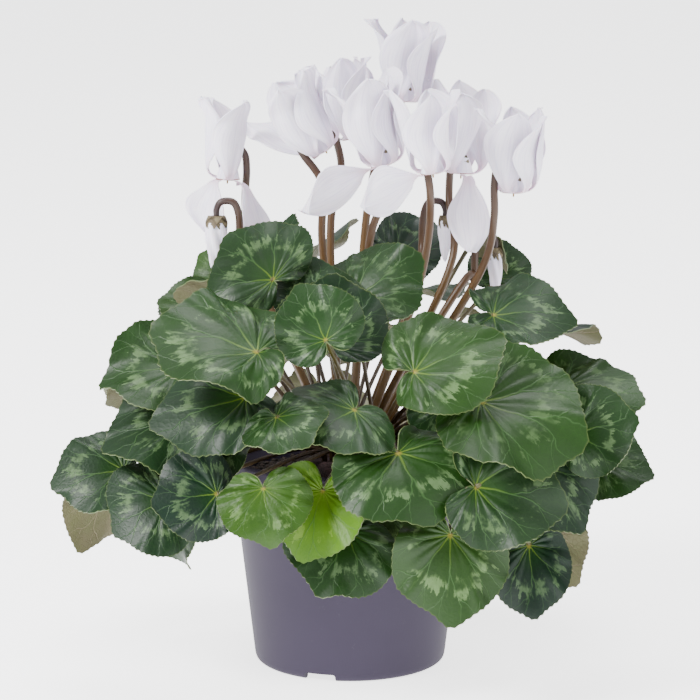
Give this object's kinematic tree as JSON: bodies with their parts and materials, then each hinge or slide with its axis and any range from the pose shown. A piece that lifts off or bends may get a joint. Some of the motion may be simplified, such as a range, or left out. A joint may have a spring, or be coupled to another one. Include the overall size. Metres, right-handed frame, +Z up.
{
  "type": "potted cyclamen plant",
  "caption": "Potted cyclamen: nodding blooms with swept-back petals on hooked stems over a mound of marbled heart-shaped leaves, in a tapered round nursery pot.",
  "frame": {"origin": "on the pot's axis at floor level, under the middle of the object's box", "axes": "+Z up along the pot's axis; -Y is the front, from which the lowest leaves hang over the rim; +X to the right seen from the front"},
  "size_m": [0.2736, 0.2463, 0.3008],
  "materials": {
    "pot": "matte injection-moulded plastic, taupe to purple-grey",
    "soil": "moist crumbly peat compost",
    "tuber": "corky and rough, dark purple-brown",
    "stem": "fleshy and satin, red-brown to olive-orange",
    "petal": "velvety matte white with a faint lilac cast",
    "leaf": "leathery satin green, silver-marbled above"
  },
  "bodies": {
    "root": {"pot": "pot", "soil": "soil", "flower_stem_01": "stem", "bloom_01": "petal", "flower_stem_02": "stem", "bloom_02": "petal", "flower_stem_03": "stem", "bloom_03": "petal", "flower_stem_04": "stem", "bloom_04": "petal", "flower_stem_05": "stem", "bloom_05": "petal", "flower_stem_06": "stem", "bloom_06": "petal", "flower_stem_07": "stem", "bloom_07": "petal", "flower_stem_08": "stem", "bloom_08": "petal", "flower_stem_09": "stem", "bud_01": "petal", "flower_stem_10": "stem", "bud_02": "petal", "flower_stem_11": "stem", "bud_03": "petal", "tuber": "tuber", "leaf_pair_01": "leaf", "leaf_pair_02": "leaf", "leaf_pair_03": "leaf", "leaf_pair_04": "leaf", "leaf_pair_05": "leaf", "leaf_pair_06": "leaf", "leaf_pair_07": "leaf", "leaf_pair_08": "leaf", "leaf_pair_09": "leaf", "leaf_pair_10": "leaf", "leaf_pair_11": "leaf", "leaf_pair_12": "leaf", "leaf_pair_13": "leaf", "leaf_pair_14": "leaf", "leaf_pair_15": "leaf", "leaf_pair_16": "leaf", "leaf_pair_17": "leaf", "leaf_pair_18": "leaf", "leaf_pair_19": "leaf", "leaf_pair_20": "leaf", "leaf_pair_21": "leaf", "leaf_pair_22": "leaf", "leaf_pair_23": "leaf", "leaf_pair_24": "leaf", "leaf_pair_25": "leaf", "leaf_pair_26": "leaf", "leaf_pair_27": "leaf", "leaf_pair_28": "leaf", "leaf_pair_29": "leaf", "leaf_pair_30": "leaf"}
  },
  "joints": []
}
